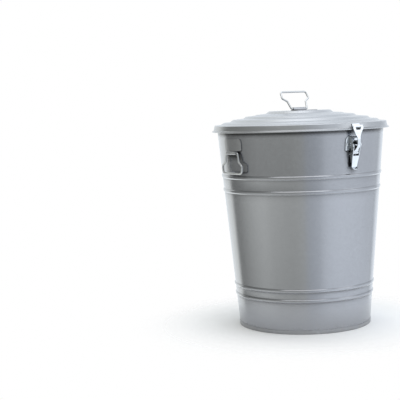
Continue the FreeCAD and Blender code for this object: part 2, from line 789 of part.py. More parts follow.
# ---------------------------------------------------------------------------------------------------
# Toggle latch, drawn shut: the lever lies against the wall and the claw holds the keeper's tongue.
# ---------------------------------------------------------------------------------------------------
LEVER_HALF = d.ear_half - d.ear_sheet - d.lever_side_gap
LINK_EYE_HALF = LEVER_HALF - d.lever_sheet - d.link_side_gap
LINK_X = PIVOT_X - d.link_inset
LINK_Z = PIVOT_Z - d.link_drop
CLAW_X = HEM_RADIUS + d.claw_gap + d.link_sheet / 2
TONGUE_Z = BAND_FOOT + d.keeper_lift
CLAW_Z = TONGUE_Z + d.keeper_sheet + d.tongue_play


def arch_outline():
    """The front view of the base: an arch with two feet."""
    wide, bend = BASE_HALF, d.latch_corner
    gap, small = d.ear_half - d.ear_sheet / 2, d.arch_corner
    low, high, top = PIVOT_Z - d.base_below, PIVOT_Z + d.base_above, PIVOT_Z + d.arch_above
    return [
        (gap, low),
        (wide, low),
        (wide, high - bend, bend, 1),
        (wide - bend, high),
        (bend - wide, high, bend, 1),
        (-wide, high - bend),
        (-wide, low),
        (-gap, low),
        (-gap, top - small, small, -1),
        (small - gap, top),
        (gap - small, top, small, -1),
        (gap, top - small),
    ]


def latch_base(name, turn):
    """An arch-shaped plate on the wall, with two ears for the lever's pin and a hood over them."""
    low, high, lift = PIVOT_Z - d.base_below, PIVOT_Z + d.base_above, d.seat_gap
    plate = common(
        f"{name}_plate",
        skin(f"{name}_skin", wall, low, high, lift, lift + d.leaf_sheet),
        prism(f"{name}_arch", FRONT_VIEW, arch_outline(), THROUGH, middle=False),
    )
    hood_x, hood_z = wall(high) + lift, high - d.hood_drop
    outer, inner = d.hood_radius, d.hood_radius - d.ear_sheet
    foot = low + d.ear_sheet * 2
    ear_side = [
        (wall(foot) + lift, foot),
        (PIVOT_X, PIVOT_Z - d.ear_radius),
        (PIVOT_X + d.ear_radius * DIAGONAL, PIVOT_Z + d.ear_radius * DIAGONAL),
        (hood_x + outer, hood_z, outer, 1),
        (hood_x, hood_z + outer),
    ]
    ears = cut(
        f"{name}_ears",
        fuse(
            f"{name}_ear_blank",
            prism(f"{name}_ear_block", SIDE_VIEW, ear_side, d.ear_half * 2),
            rod(f"{name}_ear_round", PIVOT_X, PIVOT_Z, d.ear_radius, d.ear_half * 2),
        ),
        prism(
            f"{name}_ear_space",
            SIDE_VIEW,
            [
                (d.base_radius, low - d.ear_radius),
                (PIVOT_X + d.ear_radius * 2, low - d.ear_radius),
                (PIVOT_X + d.ear_radius * 2, high + d.ear_radius),
                (d.base_radius, high + d.ear_radius),
            ],
            (d.ear_half - d.ear_sheet) * 2,
        ),
    )
    hood = prism(
        f"{name}_hood",
        SIDE_VIEW,
        [
            (hood_x + inner, hood_z),
            (hood_x + outer, hood_z, outer, 1),
            (hood_x, hood_z + outer),
            (hood_x, hood_z + inner, inner, -1),
        ],
        d.ear_half * 2,
    )
    bore_radius = d.pivot_pin / 2 + d.pin_play
    bore = rod(f"{name}_bore", PIVOT_X, PIVOT_Z, bore_radius, THROUGH)
    holes = rivet_holes(f"{name}_hole", RIGHT)
    blank = fuse(f"{name}_blank", plate, ears, hood)
    base = cut(name, blank, group(f"{name}_holes", bore, *holes))
    base.Placement = turn_about_z(turn)
    return base


def pivot_pin(name, turn):
    """The headed pin through the base's ears."""
    reach = d.ear_half + d.pin_play
    stem = rod(f"{name}_stem", PIVOT_X, PIVOT_Z, d.pivot_pin / 2, reach * 2)
    heads = [
        rod(f"{name}_{label}", PIVOT_X, PIVOT_Z, d.pin_head / 2, d.pin_head_rise, y=place)
        for label, place in (("near", reach), ("far", -reach - d.pin_head_rise))
    ]
    pin = fuse(name, stem, *heads)
    pin.Placement = turn_about_z(turn)
    return pin


def lever_place(turn):
    """Where the lever stands at rest: a few degrees open from shut."""
    return turn_about_z(turn).multiply(turn_about_y(PIVOT_X, PIVOT_Z, -d.latch_ajar.value))


def link_place(turn):
    """Where the link stands at rest: carried by the lever, and turned back on its own pin."""
    turned_back = turn_about_y(LINK_X, LINK_Z, -d.latch_ajar.value * d.link_ratio.value)
    return lever_place(turn).multiply(turned_back)


def lever(name, turn):
    """A folded lever: two cheeks on the pivot pin, a web between them, and a thumb lip at the tip."""
    eye, thick, gap = d.lever_eye, d.lever_sheet, d.lever_wall_gap
    tip = PIVOT_Z - d.lever_tip
    bend = tip + d.thumb_lift
    back_x, back_z = LINK_X + eye, LINK_Z
    tail_x = wall(bend) + gap + thick
    web_z = LINK_Z - d.web_drop
    web_x = tail_x + (back_x - tail_x) * (web_z - bend) / (back_z - bend)
    side = [
        (PIVOT_X + eye, PIVOT_Z),
        (PIVOT_X - eye, PIVOT_Z),
        (wall(LINK_Z) + gap, LINK_Z),
        (tail_x - thick, bend),
        (tail_x - thick + d.thumb_lift, tip - thick),
        (tail_x + d.thumb_lift, tip),
        (tail_x, bend),
        (back_x, back_z),
    ]
    space = [
        (tail_x - thick, bend),
        (web_x - thick, web_z),
        (PIVOT_X + eye * 2, web_z),
        (PIVOT_X + eye * 2, PIVOT_Z + eye * 2),
        (d.base_radius, PIVOT_Z + eye * 2),
        (d.base_radius, bend),
    ]
    wide, narrow, corner = LEVER_HALF, d.lever_tip_half, d.lever_corner
    front = [
        (wide, PIVOT_Z + eye * 2),
        (-wide, PIVOT_Z + eye * 2),
        (-wide, web_z),
        (-narrow, tip - thick + corner, corner, 1),
        (corner - narrow, tip - thick),
        (narrow - corner, tip - thick, corner, 1),
        (narrow, tip - thick + corner),
        (wide, web_z),
    ]
    blank = fuse(
        f"{name}_blank",
        prism(f"{name}_side", SIDE_VIEW, side, wide * 2),
        rod(f"{name}_round", PIVOT_X, PIVOT_Z, eye, wide * 2),
    )
    shaped = common(
        f"{name}_shaped",
        blank,
        prism(f"{name}_front", FRONT_VIEW, front, THROUGH, middle=False),
    )
    tools = group(
        f"{name}_tools",
        prism(f"{name}_space", SIDE_VIEW, space, (wide - thick) * 2),
    )
    hollow = cut(f"{name}_hollow", shaped, tools)
    pivot_hole = rod(f"{name}_pivot_hole", PIVOT_X, PIVOT_Z, d.pivot_pin / 2 + d.pin_play, THROUGH)
    link_hole = rod(f"{name}_link_hole", LINK_X, LINK_Z, d.link_pin / 2 + d.pin_play, THROUGH)
    result = cut(name, hollow, group(f"{name}_bores", pivot_hole, link_hole))
    result.Placement = lever_place(turn)
    return result


def link_pin(name, turn):
    pin = rod(f"{name}_stem", LINK_X, LINK_Z, d.link_pin / 2, LEVER_HALF * 2)
    result = group(name, pin)
    result.Placement = lever_place(turn)
    return result


def claw_outline():
    """The front view of the link: eye, strip, and a claw that widens like a Y."""
    eye, strip, claw, bend = LINK_EYE_HALF, d.strip_half, d.claw_half, d.claw_corner
    top = CLAW_Z + d.claw_bar
    low = LINK_Z - d.link_eye * 2
    waist = LINK_Z + d.link_eye
    right = [
        (eye, low),
        (eye, waist),
        (strip, waist + (eye - strip)),
        (strip, CLAW_Z - d.claw_root),
        (claw, CLAW_Z - d.claw_cheek),
        (claw, top - bend, bend, 1),
        (claw - bend, top),
    ]
    left = [(bend - claw, top, bend, 1), (-claw, top - bend)]
    left += [(-x, z) for x, z in (right[4], right[3], right[2], right[1], right[0])]
    return right + left


def link(name, turn):
    """A bowed strip on the link pin, with a claw whose window takes the keeper's tongue."""
    bow_z = CLAW_Z - d.bow_drop
    bow_x = wall(bow_z) + d.bow_reach
    path = [
        (LINK_X, LINK_Z),
        (bow_x, PIVOT_Z, d.bow_bend),
        (bow_x, bow_z, d.bow_bend),
        (CLAW_X, bow_z + d.bow_fall, d.bow_bend),
        (CLAW_X, CLAW_Z + d.claw_bar + d.link_sheet),
    ]

    def section(body, label):
        sketch = body_sketch(body, label, "XY_Plane")
        half = d.link_sheet / 2
        closed_outline(
            sketch,
            [
                (CLAW_X - half, -d.claw_half - half),
                (CLAW_X + half, -d.claw_half - half),
                (CLAW_X + half, d.claw_half + half),
                (CLAW_X - half, d.claw_half + half),
            ],
        )
        top = CLAW_Z + d.claw_bar + d.link_sheet
        sketch.AttachmentOffset = Placement(Vector(0, 0, top.value), Rotation())
        bind(sketch, "AttachmentOffset.Base.z", top)
        return sketch

    strip = swept(f"{name}_strip", "XZ_Plane", rounded_path, path[::-1], section)
    shaped = common(
        f"{name}_shaped",
        strip,
        prism(f"{name}_front", FRONT_VIEW, claw_outline(), THROUGH, middle=False),
    )
    eye = rod(f"{name}_eye", LINK_X, LINK_Z, d.link_eye, LINK_EYE_HALF * 2)
    bore = rod(f"{name}_bore", LINK_X, LINK_Z, d.link_pin / 2 + d.pin_play, THROUGH)
    window = prism(
        f"{name}_window",
        FRONT_VIEW,
        [
            (d.window_foot, CLAW_Z - d.window_height),
            (d.window_half, CLAW_Z),
            (-d.window_half, CLAW_Z),
            (-d.window_foot, CLAW_Z - d.window_height),
        ],
        THROUGH,
        middle=False,
    )
    result = cut(name, fuse(f"{name}_blank", shaped, eye), group(f"{name}_tools", bore, window))
    result.Placement = link_place(turn)
    return result


def keeper(name, turn):
    """A plate spot-welded to the lid's band, with a tongue that stands out for the claw."""
    low, high = TONGUE_Z, TONGUE_Z + d.keeper_height
    lift = d.seat_gap
    half = d.keeper_half
    plate = common(
        f"{name}_plate",
        skin(f"{name}_skin", band, low, high, lift, lift + d.keeper_sheet),
        prism(
            f"{name}_front",
            FRONT_VIEW,
            [(-half, low), (half, low), (half, high), (-half, high)],
            THROUGH,
            middle=False,
        ),
    )
    root = band(low) + lift + d.keeper_sheet / 2
    tip = HEM_RADIUS + d.claw_gap + d.tongue_catch
    tongue = prism(
        f"{name}_tongue",
        SIDE_VIEW,
        [(root, low), (tip, low), (tip, low + d.keeper_sheet), (root, low + d.keeper_sheet)],
        d.tongue_half * 2,
    )
    result = fuse(name, plate, tongue)
    result.Placement = turn_about_z(turn)
    return result


# ---------------------------------------------------------------------------------------------------
# The whole can.
# ---------------------------------------------------------------------------------------------------
LATCHES = (("front", FRONT), ("back", BACK))
nodes = {}


def keep(name, thing):
    thing.Label = name
    nodes[name] = thing


wall_holes = []
for side, turn in LATCHES:
    wall_holes += rivet_holes(f"{side}_wall_hole", turn)
keep("body_shell", cut("body_shell", can_wall(), group("wall_holes", *wall_holes)))
keep("bottom_pan", bottom_pan())
keep("foot_ring", foot_ring())
keep("lid_shell", lid_sheet())
keep("lid_handle_bracket", lid_bracket("lid_handle_bracket"))
keep("lid_handle", lid_handle("lid_handle"))
for side, turn in (("left", LEFT), ("right", RIGHT)):
    keep(f"{side}_handle_bracket", side_bracket(f"{side}_handle_bracket", turn))
    keep(f"{side}_handle", side_handle(f"{side}_handle", turn))
for side, turn in LATCHES:
    for piece, make in (
        ("latch_base", latch_base),
        ("latch_rivets", base_rivets),
        ("latch_pivot_pin", pivot_pin),
        ("latch_lever", lever),
        ("latch_link_pin", link_pin),
        ("latch_link", link),
        ("latch_keeper", keeper),
    ):
        keep(f"{side}_{piece}", make(f"{side}_{piece}", turn))
doc.recompute()

for thing in doc.Objects:
    if "Invalid" in thing.State or "Error" in thing.State:
        raise RuntimeError(f"{thing.Label} failed: {thing.State}")
for name, thing in nodes.items():
    if thing.Shape.isNull() or not thing.Shape.isValid():
        raise RuntimeError(f"{name} has no valid shape")

os.makedirs("parts", exist_ok=True)
for name, thing in nodes.items():
    thing.Shape.exportStep(f"parts/{name}.step")
    print(f"{name}: {len(thing.Shape.Solids)} solid(s), {thing.Shape.Volume / 1000:.3f} cm3")
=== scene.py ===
# %% [markdown]
# # A galvanized trash can with a lid
#
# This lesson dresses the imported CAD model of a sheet-metal can: a tapered wall with swaged beads, a
# stepped lid, three wire handles and two toggle latches. Each step says what the piece is on a real
# can, how it could be made in Blender, and why one way was taken. Sizes are millimetres times `MM`,
# heights are along +Z, and the latch that faces the viewer is on the -Y side.

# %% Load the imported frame
import json
import math

import bmesh
import bpy
from mathutils import Matrix, Vector

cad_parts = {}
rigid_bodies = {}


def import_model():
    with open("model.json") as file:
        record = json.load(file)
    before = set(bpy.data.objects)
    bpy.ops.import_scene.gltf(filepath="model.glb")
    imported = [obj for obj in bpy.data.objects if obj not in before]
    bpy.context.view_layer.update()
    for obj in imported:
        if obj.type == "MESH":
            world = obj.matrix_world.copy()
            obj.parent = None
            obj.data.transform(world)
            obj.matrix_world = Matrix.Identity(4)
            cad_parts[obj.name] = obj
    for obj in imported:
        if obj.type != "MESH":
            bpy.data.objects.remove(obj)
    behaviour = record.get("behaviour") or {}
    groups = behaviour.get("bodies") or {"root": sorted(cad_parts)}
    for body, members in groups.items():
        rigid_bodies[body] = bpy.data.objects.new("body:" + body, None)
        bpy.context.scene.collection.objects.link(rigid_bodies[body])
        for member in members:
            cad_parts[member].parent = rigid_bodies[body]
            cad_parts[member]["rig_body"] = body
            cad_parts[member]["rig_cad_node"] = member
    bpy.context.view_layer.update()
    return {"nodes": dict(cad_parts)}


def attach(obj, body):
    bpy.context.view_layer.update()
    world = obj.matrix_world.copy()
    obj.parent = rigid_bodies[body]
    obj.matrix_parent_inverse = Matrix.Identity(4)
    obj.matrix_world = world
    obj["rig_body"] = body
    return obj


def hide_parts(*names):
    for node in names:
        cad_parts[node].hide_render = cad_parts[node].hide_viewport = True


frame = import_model()
MM = 0.001
UP = Vector((0, 0, 1))

# %% [markdown]
# ## Working in edit mode from a script
#
# A modelling operator acts on whatever is selected, so a script has to say exactly what that is.
# These helpers leave every object deselected before work starts, open one piece in edit mode, and
# select parts of it by a question about their place and direction. They could be written out at each
# use, but the steps below then read as moves and not as housekeeping.


# %% Helpers that select and open a piece
MERGE_DRAWN = 0.002
SHARP_DEGREES = 35


def deselect_all():
    """Leave edit mode and select nothing."""
    if bpy.context.mode != "OBJECT":
        bpy.ops.object.mode_set(mode="OBJECT")
    bpy.ops.object.select_all(action="DESELECT")


def make_active(piece):
    """Select one piece and nothing else."""
    deselect_all()
    piece.select_set(True)
    bpy.context.view_layer.objects.active = piece


def open_piece(piece):
    """Open a piece in edit mode, by its vertices, with nothing selected."""
    make_active(piece)
    bpy.ops.object.mode_set(mode="EDIT")
    bpy.ops.mesh.select_mode(type="VERT")
    bpy.ops.mesh.select_all(action="DESELECT")


def close_piece():
    """Go back to object mode."""
    bpy.ops.object.mode_set(mode="OBJECT")


def start_piece(name):
    """Name the primitive that was just added and put its place into its mesh."""
    piece = bpy.context.object
    piece.name = name
    piece.data.name = name
    bpy.ops.object.transform_apply(location=True, rotation=True, scale=True)
    return piece


def seal(piece):
    """Merge what coincides and point every face outwards."""
    open_piece(piece)
    bpy.ops.mesh.select_all(action="SELECT")
    bpy.ops.mesh.remove_doubles(threshold=MERGE_DRAWN * MM)
    bpy.ops.mesh.normals_make_consistent(inside=False)
    close_piece()


def smooth(piece, degrees=SHARP_DEGREES):
    """Shade round parts smooth and keep edges sharper than the angle."""
    make_active(piece)
    bpy.ops.object.shade_smooth_by_angle(angle=math.radians(degrees))


def report(piece):
    """Print a piece's size, its faces and whether its surface is closed."""
    low = Vector(min(v.co[i] for v in piece.data.vertices) for i in range(3))
    high = Vector(max(v.co[i] for v in piece.data.vertices) for i in range(3))
    mesh = bmesh.new()
    mesh.from_mesh(piece.data)
    gaps = sum(1 for edge in mesh.edges if len(edge.link_faces) != 2)
    mesh.free()
    size = " x ".join(f"{(b - a) / MM:.1f}" for a, b in zip(low, high))
    print(f"{piece.name}: {size} mm, {len(piece.data.polygons)} faces, {gaps} open edges")


# %% [markdown]
# ## A pen for sheet and wire
#
# A roll-formed sheet and a bent wire are made the same way: something flat travels along straight
# runs and turns smoothly round corners. Here the traveller is what is selected, either one vertex
# that leaves a line behind it or a circle of vertices that leaves a tube. `extrude` makes the runs and
# `spin` makes the corners, so every bend has its true radius. A Bezier curve with a bevel would be
# quicker to draw, but its corners are not exact arcs.


# %% The pen
SHORTEST_RUN = 1e-7
SLIGHTEST_TURN = math.radians(1)
ARC_STEPS = 4


def travel(step):
    """Extrude the selection along a straight run."""
    if step.length > SHORTEST_RUN:
        bpy.ops.mesh.extrude_region_move(TRANSFORM_OT_translate={"value": step})


def turn_round(centre, axis, angle, steps):
    """Extrude the selection round a centre, by the right-hand rule. Spin itself turns the other way."""
    against = -Vector(axis)
    bpy.ops.mesh.spin(steps=steps, angle=angle, center=centre, axis=against, use_auto_merge=False)


def draw(corners, arc_steps=ARC_STEPS):
    """Take the selection along corners given as (point, radius). It starts at the first one."""
    here = corners[0][0]
    for (before, _), (corner, radius), (after, _) in zip(corners, corners[1:], corners[2:]):
        arriving = (corner - before).normalized()
        leaving = (after - corner).normalized()
        turn = arriving.angle(leaving)
        if radius == 0 or turn < SLIGHTEST_TURN:
            travel(corner - here)
            here = corner
            continue
        reach = radius * math.tan(turn / 2)
        start = corner - arriving * reach
        axis = arriving.cross(leaving).normalized()
        centre = start + axis.cross(arriving) * radius
        travel(start - here)
        turn_round(centre, axis, turn, arc_steps)
        here = corner + leaving * reach
    travel(corners[-1][0] - here)


def on_profile(radius, height):
    """A point of a turned piece's profile, which is drawn on the +X side."""
    return Vector((radius * MM, 0, height * MM))


def profile(points, corner_radius):
    """Corners for the pen from (radius, height) pairs, all rounded alike but the two ends."""
    places = [on_profile(*point) for point in points]
    inner = [(place, corner_radius * MM) for place in places[1:-1]]
    return [(places[0], 0.0), *inner, (places[-1], 0.0)]


def single_vertex(name, place):
    """A plane primitive merged to one vertex: the pen's tip for a profile."""
    deselect_all()
    bpy.ops.mesh.primitive_plane_add(size=MM, location=place)
    piece = start_piece(name)
    bpy.ops.object.mode_set(mode="EDIT")
    bpy.ops.mesh.select_mode(type="VERT")
    bpy.ops.mesh.select_all(action="SELECT")
    bpy.ops.mesh.merge(type="CENTER")
    return piece


TURNS = 192


def turn_on_lathe(piece):
    """Spin the drawn profile once round the can's axis and close the result."""
    bpy.ops.mesh.select_all(action="SELECT")
    bpy.ops.mesh.spin(steps=TURNS, angle=math.tau, center=(0, 0, 0), axis=(0, 0, 1))
    close_piece()
    seal(piece)
    smooth(piece)


# %% [markdown]
# ## The can's wall
#
# The wall is one sheet, rolled to a cone, with four swaged beads that stiffen it and a rim that is
# curled outwards over itself. It could be a cone primitive with loops moved outwards, but the beads
# and the curl are easier to control as a profile: up the outside, round the curl, and down the
# inside one sheet thickness in, which a full turn then closes into a thin solid wall.

# %% Make the wall
SHEET = 1.0
FOOT_RADIUS = 160.0
RIM_RADIUS = 203.0
RIM_HEIGHT = 490.0
WALL_FOOT = 1.1
WALL_TOP = 487.7
BEADS = (79.0, 103.0, 334.5, 369.0)
BEAD_HALF = 4.8
BEAD_CREST = 2.2
BEAD_RISE = 2.15
CURL_RADIUS = 2.3
CURL_JOIN = 486.0
CURL_STEPS = 20
WALL_BEND_OUTSIDE = 2.4
WALL_BEND_INSIDE = 2.0


def wall_radius(height):
    """Outer radius of the plain wall at a height, in millimetres."""
    return FOOT_RADIUS + (RIM_RADIUS - FOOT_RADIUS) / RIM_HEIGHT * height


def wall_line(inset, top):
    """The wall's line from its foot to a height, with the beads pushed outwards."""
    points = [(wall_radius(WALL_FOOT) - inset, WALL_FOOT)]
    for bead in BEADS:
        for along, stand in (
            (-BEAD_HALF, 0.0),
            (-BEAD_CREST, BEAD_RISE),
            (BEAD_CREST, BEAD_RISE),
            (BEAD_HALF, 0.0),
        ):
            points.append((wall_radius(bead + along) + stand - inset, bead + along))
    points.append((wall_radius(top) - inset, top))
    return points


curl_x = wall_radius(WALL_TOP) - SHEET + CURL_RADIUS
curl_centre = on_profile(curl_x, WALL_TOP)
join_x = wall_radius(CURL_JOIN)
join_z = WALL_TOP - math.sqrt(CURL_RADIUS**2 - (curl_x - join_x) ** 2)
outside = wall_line(0.0, join_z)
outside[-1] = (join_x, join_z)
curl_start = math.atan2(join_z - WALL_TOP, join_x - curl_x)
curl_turn = math.pi - curl_start
body = single_vertex("can_body", on_profile(*outside[0]))
draw(profile(outside, WALL_BEND_OUTSIDE))
turn_round(curl_centre, (0, -1, 0), curl_turn, CURL_STEPS)
inside = wall_line(SHEET, WALL_TOP)[::-1]
draw(profile([*inside, outside[0]], WALL_BEND_INSIDE))
turn_on_lathe(body)
report(body)

# %% [markdown]
# ## The bottom pan and the foot ring
#
# The bottom is a pressed disc that sits a little above the floor inside the wall, with a raised middle
# and a flange turned down all round. Below it, a folded strip wraps the wall's lower edge and takes
# the wear. Both are turned pieces too, so the same pen draws them. The strip's folds are drawn with
# small radii, because a folded edge that is perfectly sharp reads as cut plate.

# %% Make the pan and the foot ring
PAN_BEND = 0.4
PAN_OUTLINE = [
    (0.0, 23.0),
    (108.0, 23.0),
    (114.0, 20.0),
    (160.5, 20.0),
    (159.8, 11.0),
    (158.9, 11.0),
    (159.5, 19.0),
    (114.0, 19.0),
    (108.0, 22.0),
    (0.0, 22.0),
]
pan = single_vertex("can_pan", on_profile(*PAN_OUTLINE[0]))
draw(profile(PAN_OUTLINE, PAN_BEND))
turn_on_lathe(pan)
report(pan)

FOOT_BEND = 0.42
FOOT_OUTLINE = [
    (159.5, 0.0),
    (161.08, 0.0),
    (161.85, 8.95),
    (160.95, 8.95),
    (160.2, 1.02),
    (158.9, 1.02),
    (159.65, 8.95),
    (158.75, 8.95),
    (157.95, 0.0),
    (159.5, 0.0),
]
foot = single_vertex("can_foot", on_profile(*FOOT_OUTLINE[0]))
draw(profile(FOOT_OUTLINE, FOOT_BEND))
turn_on_lathe(foot)
report(foot)

# %% [markdown]
# ## The lid
#
# The lid is one spun sheet: a plateau in the middle, five steps down to the rim crease, a side band
# that hangs outside the can's curled rim, and a hem that flares out and is rolled under. It could be
# inset rings of a disc, but a profile gives each step its own height and a real press radius, and it
# keeps the sheet one millimetre thick from the pole to the hem.

# %% Make the lid
LID_STEPS = [
    (0.0, 521.37),
    (75.0, 521.37),
    (82.0, 515.97),
    (104.0, 514.1),
    (111.0, 512.1),
    (131.0, 510.4),
    (138.0, 505.7),
    (163.5, 503.53),
    (170.5, 498.33),
    (186.5, 496.97),
    (193.5, 492.37),
    (208.5, 491.1),
]
BAND_FOOT = (210.95, 479.1)
HEM_RADIUS = 1.6
HEM_CENTRE = (213.25, 476.5)
HEM_ENTRY = math.radians(80)
HEM_TURN = math.radians(260)
HEM_STEPS = 18
LID_BEND_TOP = 1.6
LID_BEND_UNDER = 1.4


def on_hem(angle):
    """A point of the hem's roll as (radius, height)."""
    return (HEM_CENTRE[0] + HEM_RADIUS * math.cos(angle), HEM_CENTRE[1] + HEM_RADIUS * math.sin(angle))


hem_entry = on_hem(HEM_ENTRY)
lid = single_vertex("lid_sheet", on_profile(*LID_STEPS[0]))
draw(profile([*LID_STEPS, BAND_FOOT, hem_entry], LID_BEND_TOP))
turn_round(on_profile(*HEM_CENTRE), (0, 1, 0), HEM_TURN, HEM_STEPS)
hem_exit = on_hem(HEM_ENTRY - HEM_TURN)
underside = [(BAND_FOOT[0] - SHEET, BAND_FOOT[1]), (LID_STEPS[-1][0] - SHEET, LID_STEPS[-1][1] - SHEET)]
underside += [(radius, height - SHEET) for radius, height in LID_STEPS[-2::-1]]
draw(profile([hem_exit, *underside], LID_BEND_UNDER))
turn_on_lathe(lid)
report(lid)

# %% [markdown]
# ## Wire handles
#
# The two side handles and the lid's handle are one pattern: a 4.6 mm wire whose ends meet in the
# bracket's knuckle, legs that run out to a pair of shoulders, and a straight grip bar. A curve object
# with a round bevel would do, but the pen gives the arcs of a wire bender: a circle of sixteen
# vertices travels the whole wire, and the two cut ends are filled.

# %% Bend the wires
WIRE = 4.6
WIRE_SIDES = 16
WIRE_BEND_STEPS = 7
WIRE_END_REACH = WIRE * 0.6
# Half a wire: across from its middle, away from the pivot, and the radius of the bend there.
BAIL = [
    (2.5, 0.0, 0.0),
    (23.5, 0.0, 3.6),
    (28.0, 21.5, 5.0),
    (40.0, 29.5, 5.0),
    (38.5, 48.0, 6.5),
]


def bail_corners(pivot, along, out):
    """The wire's corners in space: across the can along one direction and away from the pivot."""
    half = [(pivot + (along * x + out * y) * MM, bend * MM) for x, y, bend in BAIL]
    other = [(pivot + (out * y - along * x) * MM, bend * MM) for x, y, bend in BAIL]
    return half + other[::-1]


def select_near(piece, place, reach):
    """Select the vertices within a distance of a place, in millimetres."""
    bpy.ops.mesh.select_all(action="DESELECT")
    mesh = bmesh.from_edit_mesh(piece.data)
    for vertex in mesh.verts:
        vertex.select_set((vertex.co - place).length < reach * MM)
    mesh.select_flush_mode()
    bmesh.update_edit_mesh(piece.data)


def make_bail(name, pivot, along, out):
    """Bend one wire and fill its two ends."""
    corners = bail_corners(pivot, along, out)
    facing = UP.rotation_difference(along).to_euler()
    deselect_all()
    bpy.ops.mesh.primitive_circle_add(
        vertices=WIRE_SIDES, radius=WIRE / 2 * MM, location=corners[0][0], rotation=facing
    )
    piece = start_piece(name)
    bpy.ops.object.mode_set(mode="EDIT")
    bpy.ops.mesh.select_mode(type="VERT")
    bpy.ops.mesh.select_all(action="SELECT")
    draw(corners, arc_steps=WIRE_BEND_STEPS)
    bpy.ops.mesh.edge_face_add()
    select_near(piece, corners[0][0], WIRE_END_REACH)
    bpy.ops.mesh.edge_face_add()
    close_piece()
    seal(piece)
    smooth(piece)
    report(piece)
    return piece


HANDLE_PIVOT = 201.739
HANDLE_HEIGHT = 428.0
LID_PIVOT = 525.5525
LEAN = math.radians(30)
side_handles = {}
for side, pivot_x in (("left", -HANDLE_PIVOT), ("right", HANDLE_PIVOT)):
    side_pivot = Vector((pivot_x, 0, HANDLE_HEIGHT)) * MM
    side_handles[side] = make_bail(f"{side}_wire", side_pivot, Vector((0, 1, 0)), -UP)
lid_wire = make_bail(
    "lid_wire",
    Vector((0, 0, LID_PIVOT)) * MM,
    Vector((1, 0, 0)),
    Vector((0, math.sin(LEAN), math.cos(LEAN))),
)

# %% [markdown]
# ## Pressed hardware from the CAD shapes
#
# The brackets and the latch parts are small pressings whose shapes are right in the CAD model, but
# every edge there is perfectly sharp and perfectly flat-shaded. Each one is copied, its loose
# triangles are merged and dissolved back into whole faces, and a narrow bevel breaks the edges the
# way a press and a tumbling barrel do, so that they catch the light. Weighted normals keep the large
# faces flat beside the soft edges.


# %% Copies with softened edges
MERGE_TRIANGLES = 0.005
FLAT_ANGLE = math.radians(2.0)
BEVEL_STEPS = 3
BEVEL_FROM = math.radians(35)
PRESSED_SHARP_DEGREES = 40


def soften(name, cad_node, edge=0.3):
    """A copy of a CAD node with whole faces and rounded edges."""
    deselect_all()
    piece = frame["nodes"][cad_node].copy()
    piece.data = piece.data.copy()
    piece.name = name
    piece.data.name = name
    piece.parent = None
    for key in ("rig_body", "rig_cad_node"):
        del piece[key]
    bpy.context.scene.collection.objects.link(piece)
    open_piece(piece)
    bpy.ops.mesh.select_all(action="SELECT")
    bpy.ops.mesh.remove_doubles(threshold=MERGE_TRIANGLES * MM)
    bpy.ops.mesh.dissolve_limited(angle_limit=FLAT_ANGLE)
    bpy.ops.mesh.normals_make_consistent(inside=False)
    close_piece()
    bevel = piece.modifiers.new("soft edges", "BEVEL")
    bevel.width = edge * MM
    bevel.segments = BEVEL_STEPS
    bevel.limit_method = "ANGLE"
    bevel.angle_limit = BEVEL_FROM
    bpy.ops.object.modifier_apply(modifier=bevel.name)
    smooth(piece, PRESSED_SHARP_DEGREES)
    weighted = piece.modifiers.new("even shading", "WEIGHTED_NORMAL")
    weighted.keep_sharp = True
    bpy.ops.object.modifier_apply(modifier=weighted.name)
    report(piece)
    return piece


side_brackets = {side: soften(f"{side}_leaf", f"{side}_handle_bracket") for side in ("left", "right")}
lid_bracket = soften("lid_leaf", "lid_handle_bracket")
latches = {}
for side in ("front", "back"):
    latches[side] = {
        "base": soften(f"{side}_base", f"{side}_latch_base"),
        "rivets": soften(f"{side}_rivets", f"{side}_latch_rivets", edge=0.5),
        "pivot": soften(f"{side}_pivot", f"{side}_latch_pivot_pin", edge=0.25),
        "lever": soften(f"{side}_lever", f"{side}_latch_lever"),
        "link_pin": soften(f"{side}_link_pin", f"{side}_latch_link_pin", edge=0.2),
        "link": soften(f"{side}_link", f"{side}_latch_link"),
        "keeper": soften(f"{side}_keeper", f"{side}_latch_keeper", edge=0.25),
    }

# %% [markdown]
# ## Building materials from nodes
#
# Every finish here is galvanized or zinc-plated steel, and the materials share four effects: the faint
# clouding and crystal pattern of a zinc coat, the polish of rubbed edges, the dust that settles low
# down and on level faces, and a painted shade that darkens crevices and the wall under the hem. Each
# effect is a node group with named sockets, built once. The shader itself stays in each material, so
# that its constant values sit on its own sockets.


# %% Helpers for node trees
def node(tree, kind, place, **values):
    """Add a node and set its sockets or properties by name."""
    made = tree.nodes.new(kind)
    made.location = place
    for name, value in values.items():
        label = name.replace("_", " ")
        if hasattr(made, name):
            setattr(made, name, value)
        else:
            made.inputs[label].default_value = value
    return made


def wire(tree, source, outlet, target, inlet):
    """Link an output of one node to an input of another."""
    tree.links.new(source.outputs[outlet], target.inputs[inlet])


def new_group(name, takes, gives):
    """A shader node group with named inputs and outputs."""
    group = bpy.data.node_groups.new(name, "ShaderNodeTree")
    for label, kind, default in takes:
        socket = group.interface.new_socket(name=label, in_out="INPUT", socket_type=kind)
        if default is not None:
            socket.default_value = default
    for label, kind in gives:
        group.interface.new_socket(name=label, in_out="OUTPUT", socket_type=kind)
    entry = node(group, "NodeGroupInput", (-900, 0))
    leave = node(group, "NodeGroupOutput", (900, 0))
    return group, entry, leave


def place_group(tree, group, place):
    """Put a node group into a tree."""
    placed = node(tree, "ShaderNodeGroup", place)
    placed.node_tree = group
    return placed


FLOAT = "NodeSocketFloat"
COLOUR = "NodeSocketColor"
VECTOR = "NodeSocketVector"
# Sockets of a Mix node by number, because its inputs for numbers and for colours share their names.
NUMBER_A = 2
NUMBER_B = 3
COLOUR_A = 6
COLOUR_B = 7
COLOUR_OUT = 2

